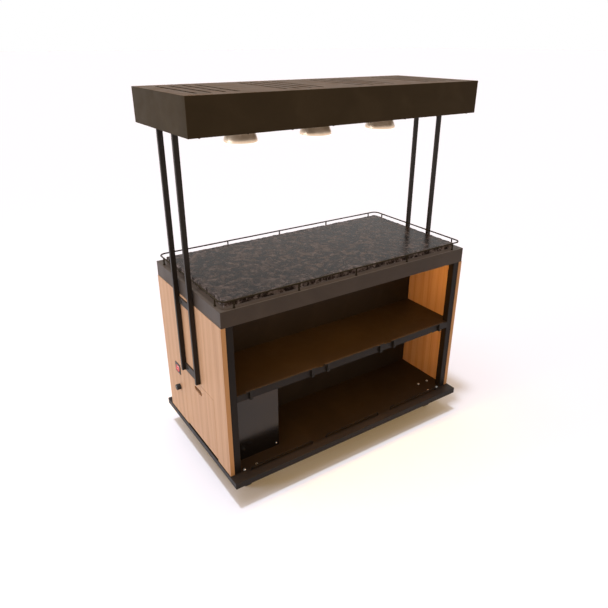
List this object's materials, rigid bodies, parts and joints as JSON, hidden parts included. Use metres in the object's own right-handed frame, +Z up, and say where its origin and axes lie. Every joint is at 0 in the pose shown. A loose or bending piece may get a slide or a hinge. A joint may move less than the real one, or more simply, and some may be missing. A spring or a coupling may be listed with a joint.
{
  "type": "hot food display counter",
  "caption": "Wheeled two-sided counter with a heated black stone top, wire gallery, open shelves below and a slotted canopy of heat lamps on slim posts.",
  "frame": {"origin": "on the floor under the middle of the counter: bottom centre of the whole object", "axes": "+X along the counter, the panel with the switch and the hatch faces -X, the serving front faces -Y, +Z up"},
  "size_m": [1.274, 0.705, 1.539],
  "materials": {
    "canopy_coat": "satin powder coat",
    "canopy_floor_coat": "satin powder coat",
    "frame_coat": "satin powder coat",
    "base_coat": "satin powder coat",
    "upright_coat": "satin powder coat",
    "post_coat": "satin powder coat",
    "shelf_coat": "satin powder coat",
    "stop_coat": "satin powder coat",
    "wire_coat": "gloss powder coat",
    "gallery_coat": "gloss powder coat",
    "housing_coat": "gloss powder coat",
    "partition_coat": "satin powder coat",
    "wood": "clear matt lacquer, vertical grain",
    "granite": "polished black granite, rough split edge",
    "hot_plate_steel": "mill finish",
    "pan_steel": "galvanised",
    "board_fibre": "pressed mineral fibre",
    "element_steel": "heat tinted sheath",
    "tube_steel": "satin powder coat",
    "zinc": "bright zinc plate",
    "fork_zinc": "bright zinc plate",
    "bolt_zinc": "bright zinc plate",
    "hub_plastic": "moulded nylon",
    "tyre": "matt rubber",
    "pedal_plastic": "moulded nylon",
    "pivot_steel": "turned",
    "catch_plastic": "moulded",
    "strike_steel": "zinc plate",
    "bezel_plastic": "fine texture",
    "rocker_red": "translucent red, lit",
    "thermostat_plastic": "moulded",
    "knob_plastic": "fine texture",
    "driver_plastic": "moulded",
    "terminal_plastic": "moulded",
    "gland_plastic": "moulded nylon",
    "lamp_glass": "mirrored bowl, clear face, lit",
    "cap_brass": "nickel tinted brass",
    "holder_ceramic": "glazed porcelain",
    "bridge_steel": "galvanised",
    "trim_steel": "polished",
    "channel_aluminium": "anodised",
    "diffuser": "opal, lit"
  },
  "bodies": {
    "counter": {"base_frame": "tube_steel", "base_tray": "base_coat", "canopy_floor": "canopy_floor_coat", "canopy_shell": "canopy_coat", "caster_bolts": "bolt_zinc", "caster_plates": "zinc", "cord_gland": "gland_plastic", "corner_posts": "upright_coat", "deck_wires_back": "wire_coat", "deck_wires_front": "wire_coat", "gallery_legs": "gallery_coat", "gallery_loop": "gallery_coat", "granite_slab": "granite", "hatch_catch": "catch_plastic", "hatch_pivots": "pivot_steel", "heater_element": "element_steel", "heater_pan": "pan_steel", "hot_plate": "hot_plate_steel", "insulation_board": "board_fibre", "lamp_bridges": "bridge_steel", "lamp_bulbs": "lamp_glass", "lamp_caps": "cap_brass", "lamp_holders": "holder_ceramic", "lamp_trims": "trim_steel", "light_channels": "channel_aluminium", "light_diffusers": "diffuser", "light_driver": "driver_plastic", "partitions": "partition_coat", "post_frame_left": "post_coat", "post_frame_right": "post_coat", "service_housing": "housing_coat", "shelf_cleats": "zinc", "shelf_pan": "shelf_coat", "shelf_stops_back": "stop_coat", "shelf_stops_front": "stop_coat", "side_panel_left": "wood", "side_panel_right": "wood", "switch_body": "bezel_plastic", "terminal_block": "terminal_plastic", "thermostat_body": "thermostat_plastic", "top_frame": "frame_coat", "upper_ring": "upright_coat"},
    "swivel_fl": {"caster_fork_fl": "fork_zinc"},
    "wheel_fl": {"caster_hub_fl": "hub_plastic", "caster_tyre_fl": "tyre"},
    "swivel_fr": {"caster_fork_fr": "fork_zinc"},
    "wheel_fr": {"caster_hub_fr": "hub_plastic", "caster_tyre_fr": "tyre"},
    "swivel_bl": {"caster_fork_bl": "fork_zinc"},
    "wheel_bl": {"caster_hub_bl": "hub_plastic", "caster_tyre_bl": "tyre"},
    "swivel_br": {"caster_fork_br": "fork_zinc"},
    "wheel_br": {"caster_hub_br": "hub_plastic", "caster_tyre_br": "tyre"},
    "brake_fl": {"caster_brake_fl": "pedal_plastic"},
    "brake_fr": {"caster_brake_fr": "pedal_plastic"},
    "hatch": {"hatch_door": "wood", "hatch_strike": "strike_steel"},
    "rocker": {"switch_rocker": "rocker_red"},
    "knob": {"thermostat_knob": "knob_plastic"}
  },
  "joints": [
    {"name": "swivel_fl_turn", "type": "hinge", "parent": "counter", "child": "swivel_fl", "pos_m": [-0.509, -0.262, 0.087], "axis": [0, 0, 1], "continuous": true},
    {"name": "wheel_fl_roll", "type": "hinge", "parent": "swivel_fl", "child": "wheel_fl", "pos_m": [-0.509, -0.24, 0.0375], "axis": [1, 0, 0], "continuous": true},
    {"name": "brake_fl_press", "type": "hinge", "parent": "swivel_fl", "child": "brake_fl", "pos_m": [-0.509, -0.21, 0.072], "axis": [-1, 0, 0], "range_deg": [0, 10]},
    {"name": "swivel_fr_turn", "type": "hinge", "parent": "counter", "child": "swivel_fr", "pos_m": [0.509, -0.262, 0.087], "axis": [0, 0, 1], "continuous": true},
    {"name": "wheel_fr_roll", "type": "hinge", "parent": "swivel_fr", "child": "wheel_fr", "pos_m": [0.509, -0.24, 0.0375], "axis": [1, 0, 0], "continuous": true},
    {"name": "brake_fr_press", "type": "hinge", "parent": "swivel_fr", "child": "brake_fr", "pos_m": [0.509, -0.21, 0.072], "axis": [-1, 0, 0], "range_deg": [0, 10]},
    {"name": "swivel_bl_turn", "type": "hinge", "parent": "counter", "child": "swivel_bl", "pos_m": [-0.509, 0.262, 0.087], "axis": [0, 0, 1], "continuous": true},
    {"name": "wheel_bl_roll", "type": "hinge", "parent": "swivel_bl", "child": "wheel_bl", "pos_m": [-0.509, 0.24, 0.0375], "axis": [1, 0, 0], "continuous": true},
    {"name": "swivel_br_turn", "type": "hinge", "parent": "counter", "child": "swivel_br", "pos_m": [0.509, 0.262, 0.087], "axis": [0, 0, 1], "continuous": true},
    {"name": "wheel_br_roll", "type": "hinge", "parent": "swivel_br", "child": "wheel_br", "pos_m": [0.509, 0.24, 0.0375], "axis": [1, 0, 0], "continuous": true},
    {"name": "hatch_hinge", "type": "hinge", "parent": "counter", "child": "hatch", "pos_m": [-0.593, -0.0415, 0.141], "axis": [0, -1, 0], "range_deg": [0, 90]},
    {"name": "rocker_tilt", "type": "hinge", "parent": "counter", "child": "rocker", "pos_m": [-0.596, 0.169, 0.39], "axis": [0, -1, 0], "range_deg": [0, 16]},
    {"name": "knob_turn", "type": "hinge", "parent": "counter", "child": "knob", "pos_m": [-0.611, 0.169, 0.295], "axis": [1, 0, 0], "range_deg": [0, 270]}
  ]
}
